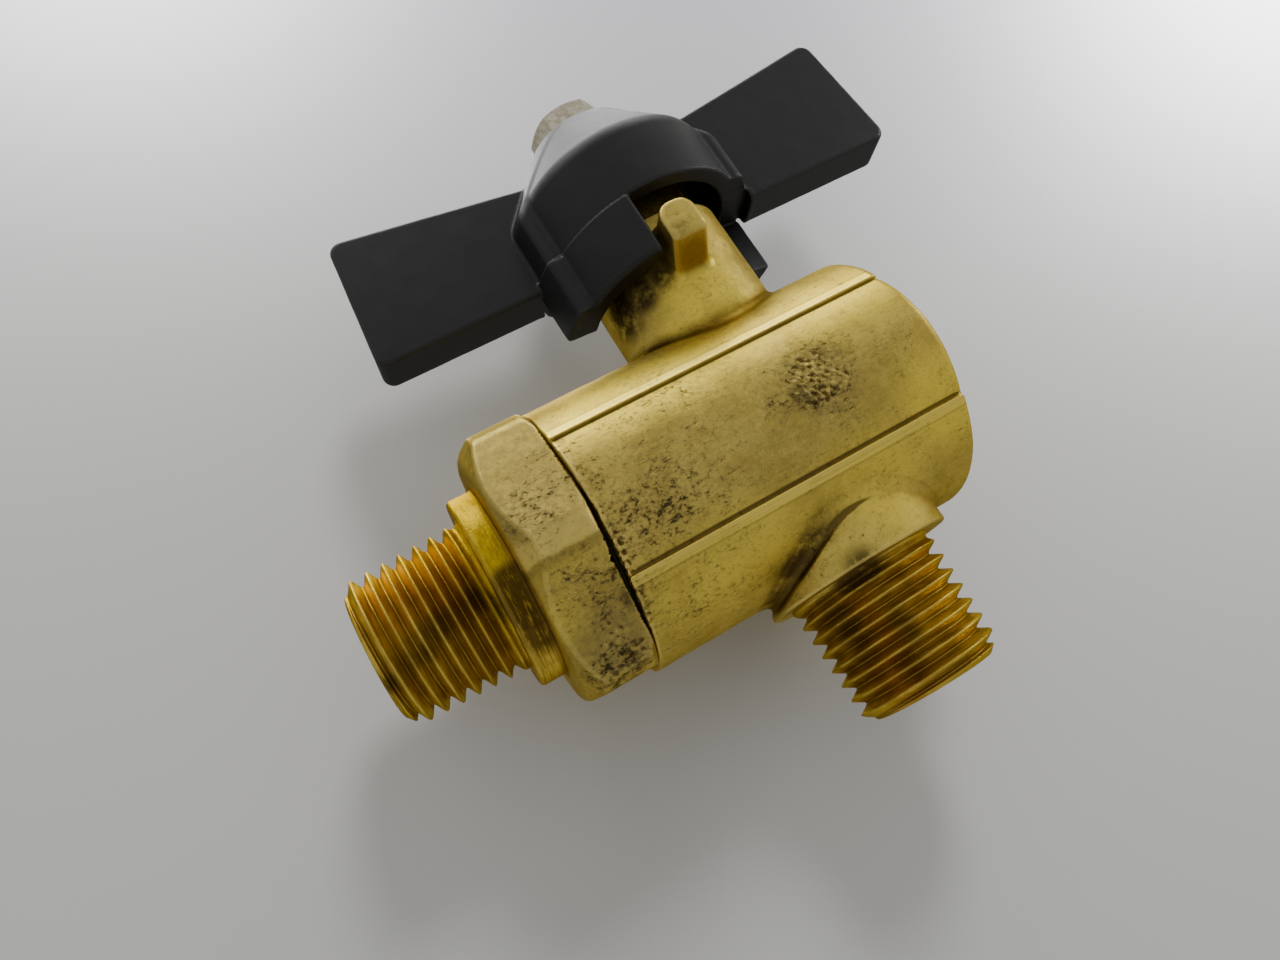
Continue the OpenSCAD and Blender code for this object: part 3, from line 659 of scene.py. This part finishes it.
# soot, and painted shade on the neck under the handle's skirt and on the saddle beside the neck
BODY_SOOT_AND_SHADE = [
    ((-0.8, -12.45, 24.0), 0.2, 1.6, 0.6, EVEN), ((-6.6, -3.2, 40.6), 1.2, 3.3, 1.0, EVEN),
    ((-4.8, -5.4, 40.6), 0.8, 2.3, 1.0, EVEN), ((-2.8, -6.7, 40.8), 0.4, 1.8, 0.9, EVEN),
    ((-3.6, -6.0, 44.0), 1.4, 2.5, 1.0, EVEN),
    ((-6.2, -5.8, 13.6), 0.3, 1.8, 0.7, ALONG_X), ((-3.6, -7.9, 14.8), 0.2, 1.5, 0.6, EVEN),
    ((-19.3, -9.0, 17.0), 0.2, 1.5, 0.8, (1.6, 0.5, 0.5)), ((0.0, -7.6, 34.2), 0.5, 3.2, 0.45, ALONG_X),
    ((-1.2, -11.0, 41.9), 0.2, 1.1, 0.6, ALONG_X),
    ((-2.6, -8.0, 10.8), 0.4, 2.4, 0.95, EVEN), ((-8.3, -1.6, 11.6), 0.3, 2.2, 0.45, EVEN),
]
# tarnish, and painted shade on the right of the neck
BODY_TARNISH_AND_SHADE = [
    ((1.2, -12.45, 24.5), 2.2, 4.6, 1.0, EVEN), ((6.2, -4.2, 37.5), 3.0, 5.5, 1.0, EVEN),
    ((-6.0, -12.0, 25.0), 3.0, 9.0, 0.45, ALONG_X),
]
BODY_RUST = [((0.0, -9.2, 40.3), 1.0, 2.2, 1.0, (1, 0.8, 1.7))]
# painted highlights on the lit parts of the body
BODY_PAINTED_HIGHLIGHTS = [
    ((-0.5, -7.2, 37.0), 2.0, 5.5, 1.0, EVEN), ((-3.0, -6.5, 35.5), 1.0, 4.5, 0.9, EVEN),
    ((-9.0, -9.8, 31.0), 2.0, 5.5, 1.0, (0.4, 1, 1)), ((7.5, -10.5, 29.8), 1.5, 5.0, 0.7, ALONG_X),
    ((10.0, -10.0, 19.0), 2.0, 6.5, 1.0, EVEN), ((2.0, -8.6, 14.8), 1.0, 5.0, 0.7, EVEN),
    ((-11.0, -9.0, 15.5), 1.5, 6.5, 0.75, ALONG_X), ((3.0, -9.0, 17.2), 1.0, 5.0, 0.8, ALONG_X),
]
HEX_DIRT = [
    ((-22.7, -5.3, 14.0), 1.5, 3.6, 1.1, EVEN), ((-21.6, -9.8, 18.2), 0.6, 3.2, 0.55, EVEN),
    ((-19.5, -10.5, 19.0), 0.3, 2.2, 1.0, EVEN), ((-23.0, -11.7, 25.5), 1.2, 4.5, 0.78, EVEN),
    ((-21.0, -10.5, 28.5), 0.8, 3.5, 0.6, EVEN), ((-23.4, -10.6, 19.6), 0.8, 3.2, 0.6, EVEN),
]
# tarnish, and painted shade over the hexagon's upper face
HEX_TARNISH_AND_SHADE = [
    ((-23.0, -11.7, 25.3), 1.0, 4.2, 1.0, EVEN), ((-22.2, -7.5, 15.5), 1.5, 5.0, 1.0, EVEN),
    ((-20.5, -11.0, 27.5), 0.8, 3.0, 0.8, EVEN), ((-22.6, -9.0, 31.0), 6.0, 10.0, 1.0, EVEN),
]
HEX_SOOT = [((-19.4, -9.0, 17.5), 0.3, 1.6, 0.9, EVEN)]
# painted highlights on the hexagon
HEX_PAINTED_HIGHLIGHTS = [((-23.5, -12.0, 22.2), 0.8, 2.6, 0.35, ALONG_X), ((-25.6, -9.0, 18.0), 0.5, 4.0, 0.5, EVEN)]
INLET_SOOT = [
    ((-32.8, -6.3, 23.0), 0.3, 2.0, 0.7, ALONG_X), ((-36.0, -6.0, 21.6), 0.2, 1.7, 0.65, EVEN),
    ((-29.8, -6.3, 23.6), 0.3, 1.9, 0.95, EVEN), ((-38.5, -5.0, 21.0), 0.4, 1.6, 0.9, EVEN),
    ((-34.6, -6.2, 21.6), 0.3, 2.0, 0.95, EVEN), ((-26.5, -8.0, 21.4), 2.4, 3.4, 1.0, EVEN),
    ((-26.4, -6.4, 18.8), 1.0, 2.8, 0.9, EVEN),
]
COLLAR_GOLD = [((-26.8, -6.0, 29.0), 7.0, 13.0, 1.0, (1.6, 1, 1)), ((-29.6, -5.5, 29.0), 1.5, 4.0, 0.7, EVEN)]
INLET_RUST = [((-33.0, -6.0, 26.0), 1.0, 3.5, 0.7, ALONG_X), ((-31.0, -6.4, 24.0), 1.0, 3.0, 0.9, EVEN)]
OUTLET_SOOT = [
    ((-2.6, -6.0, 10.6), 1.0, 2.4, 1.0, (0.7, 0.7, 1.3)), ((-5.2, -3.8, 7.5), 0.4, 2.6, 0.7, ALONG_Z),
    ((-1.6, -6.2, 5.4), 0.3, 1.7, 0.65, ALONG_Z), ((-3.0, -5.8, 2.6), 0.3, 1.9, 0.6, EVEN),
]
OUTLET_RUST = [((-4.2, -4.9, 3.5), 1.0, 3.6, 0.9, ALONG_Z), ((-4.0, -5.0, 8.5), 0.8, 2.8, 0.8, EVEN)]

FORGED = forged_brass("forged_brass", BODY_DIRT, BODY_SOOT_AND_SHADE, BODY_TARNISH_AND_SHADE, BODY_PAINTED_HIGHLIGHTS, BODY_RUST, creases=True)
FORGED_HEX = forged_brass("forged_brass_hex", HEX_DIRT, HEX_SOOT, HEX_TARNISH_AND_SHADE, HEX_PAINTED_HIGHLIGHTS, ridge=True)
INLET_BRASS = machined_brass("machined_brass_inlet", (2.2, 0.6, 0.6), INLET_SOOT, INLET_RUST, COLLAR_GOLD)
OUTLET_BRASS = machined_brass("machined_brass_outlet", (0.6, 0.6, 2.2), OUTLET_SOOT, OUTLET_RUST)
MACHINED, PLASTIC = machined_brass("machined_brass"), black_plastic("black_plastic")
# the gland nut is painted dark as shade, so the notch shows nothing bright behind the lug
GLAND_PAINTED_SHADE = machined_brass("machined_brass_painted_shade", soot_and_shade=[((0, 0, 46), 12, 16, 1.0, EVEN)])
SEAL = plain("white_seal", (0.80, 0.79, 0.75), (0.88, 0.87, 0.84), 0.35)
RUBBER = plain("black_rubber", (0.012, 0.012, 0.012), (0.022, 0.021, 0.02), 0.6, bump=0.03)
CHROME = plain("ball_chrome", (0.62, 0.63, 0.65), (0.72, 0.73, 0.75), 0.10, 1.0)
STEEL = plain("plated_steel", (0.40, 0.36, 0.26), (0.60, 0.555, 0.44), 0.45, 1.0, bump=0.02)

# ---------------------------------------------------------------- pieces
# each box holds its piece with a little room, and STEP_MM is the grid's step inside it
STEP_MM = 0.2
V, Q, N, K = nets(body_field, (-19.4, -12.6, -13.7), (12.3, 12.6, 22.1), STEP_MM)
outlet_end = thread_part((0, 0, OUTLET_FACE), (0, 0, 1), 11.5, 11.3, 0.23, 1)
body = make_object("valve_body_forging", [(V, Q, N, K, 0), outlet_end], [FORGED, OUTLET_BRASS])
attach(body, "valve_body")
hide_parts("body")

V, Q, N, K = nets(adapter_field, (-28.2, -13.0, -13.0), (-8.1, 13.0, 13.0), STEP_MM)
# only the hexagon keeps its forged skin: the collar and what goes into the barrel are turned
middle = V[Q].mean(1)
turned = (middle[:, 0] < HEX_L) | (hyp(middle[:, 1], middle[:, 2]) < 9.0)
inlet_end = thread_part((INLET_FACE, 0, 0), (1, 0, 0), 10.9, 10.6, 0.28, 1)
adapter = make_object(
    "inlet_adapter_turned", [(V, Q, N, K, turned.astype(int)), inlet_end], [FORGED_HEX, INLET_BRASS])
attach(adapter, "valve_body")
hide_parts("inlet_adapter")

V, Q, N, K = nets(handle_field, (-27.7, -11.5, 16.8), (27.7, 11.5, 36.5), STEP_MM)
handle = make_object("wing_handle", [(V, Q, N, K, 0)], [PLASTIC])
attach(handle, "handle_stem")
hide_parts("handle")

FINISH = {
    "body_seal": RUBBER, "inlet_seat": SEAL, "rear_seat": SEAL, "stem_packing": SEAL,
    "packing_follower": MACHINED,
    "gland_nut": GLAND_PAINTED_SHADE, "ball": CHROME, "stem": MACHINED, "thrust_washer": SEAL, "lower_stem_o_ring": RUBBER,
    "upper_stem_o_ring": RUBBER, "lock_washer": STEEL, "handle_screw": STEEL,
}
for name, finish in FINISH.items():
    slots = nodes[name].data.materials
    slots.clear()
    slots.append(finish)

# ---------------------------------------------------------------- the table behind the valve, light and camera
# the far direction runs up the table as the photograph sees it, and the other one across
MIDDLE = Vector((0, 0, 0.03))
FAR, ACROSS = Vector((0.46, -0.34, 0.82)), Vector((0.86, -0.07, -0.50))
TABLE_Y, TABLE_HALF = 0.0132, 0.35


def table_paint():
    """Pale paint with a painted light falloff, darker and a little bluer far away, and clear from behind."""
    m = Mat("table_paint")
    # painted light falloff: darker and a little bluer far away
    paint = m.mix(m.span(m.vec("DOT_PRODUCT", m.p, FAR), 20, 115), (0.54, 0.54, 0.53), (0.44, 0.445, 0.50))
    cloudy = m.span(m.noise(0.02, 3, 0.5), 0.3, 0.7, 0.0, 0.06)
    m.done(m.mix(cloudy, paint, (0.40, 0.40, 0.39)), 0.6)
    behind = m.node("NewGeometry").outputs["Backfacing"]
    both = m.node("MixShader", _0=behind, _1=m.b.outputs[0], _2=m.node("BsdfTransparent").outputs[0])
    m.put(m.out.inputs[0], both.outputs[0])
    return m.m


me = bpy.data.meshes.new("table_top")
corners = [(-1, -TABLE_HALF), (1, -TABLE_HALF), (1, TABLE_HALF + 0.05), (-1, TABLE_HALF + 0.05)]
me.from_pydata([(side * TABLE_HALF, TABLE_Y, z) for side, z in corners], [], [(0, 1, 2, 3)])
me.materials.append(table_paint())
table = bpy.data.objects.new("table_top", me)
scene.collection.objects.link(table)
table.visible_diffuse = table.visible_glossy = table.visible_shadow = table.visible_transmission = False

# soft room light: brighter from the far side than from the near side, dimmer where the table hides the room
world = bpy.data.worlds.new("studio")
scene.world = world
world.use_nodes = True
room = Graph(world.node_tree)
toward = room.node("TexCoord").outputs["Generated"]
_, toward_y, toward_z = room.split(toward)
glow = room.span(room.vec("DOT_PRODUCT", toward, FAR), -0.4, 1.0, 0.48, 0.70)
hidden = room.math("MULTIPLY_ADD", room.math("ABSOLUTE", toward_z), -0.5, toward_y)
sky = world.node_tree.nodes["Background"]
room.put(sky.inputs["Color"], (1.0, 0.99, 0.965))
room.put(sky.inputs["Strength"], room.math("MULTIPLY", glow, room.span(hidden, 0.2, 0.75, 1.0, 0.4)))


def area(name, at, look, size, power):
    """A round lamp at a place, turned to look at another, and unseen by the camera."""
    lamp = bpy.data.lights.new(name, "AREA")
    lamp.shape, lamp.size, lamp.energy = "DISK", size, power
    o = bpy.data.objects.new(name, lamp)
    o.location = at
    o.rotation_mode = "QUATERNION"
    o.rotation_quaternion = (look - at).to_track_quat("-Z", "Y")
    o.visible_camera = False
    scene.collection.objects.link(o)
    return o


area("window", MIDDLE + Vector((0.17, 0.0, 0.50)), MIDDLE, 0.36, 1.15)
area("rim", MIDDLE + Vector((0.02, 0.15, 0.25)), MIDDLE, 0.25, 0.65)
shade = area("shade", MIDDLE + 0.40 * FAR + Vector((0, -0.20, 0)), MIDDLE, 0.13, 1.3)
shade.visible_glossy = False
# two small lamps low over the table, left and right of the valve, wash it with light
for side, power in ((-0.075, 0.10), (0.085, 0.19)):
    wash = MIDDLE + 0.085 * FAR + side * ACROSS
    wash.y = -0.022
    area("table_wash", wash, wash + Vector((0, 1, 0)), 0.05, power)

# the photograph's own view: where the camera is, in metres, and its turn as an axis times an angle in radians
CAMERA_AT = Vector((-0.030840, -0.076505, 0.006505))
CAMERA_TURN = Vector((1.2151, -0.5043, -0.2647))
lens = bpy.data.cameras.new("camera")
lens.sensor_width, lens.sensor_fit, lens.lens = 36.0, "HORIZONTAL", 26.18015625
lens.clip_start, lens.clip_end = 0.002, 5
right, down, forward = Matrix.Rotation(CAMERA_TURN.length, 3, CAMERA_TURN.normalized())
cam = bpy.data.objects.new("camera", lens)
cam.matrix_world = Matrix.Translation(CAMERA_AT) @ Matrix((right, -down, -forward)).transposed().to_4x4()
scene.collection.objects.link(cam)
scene.camera = cam
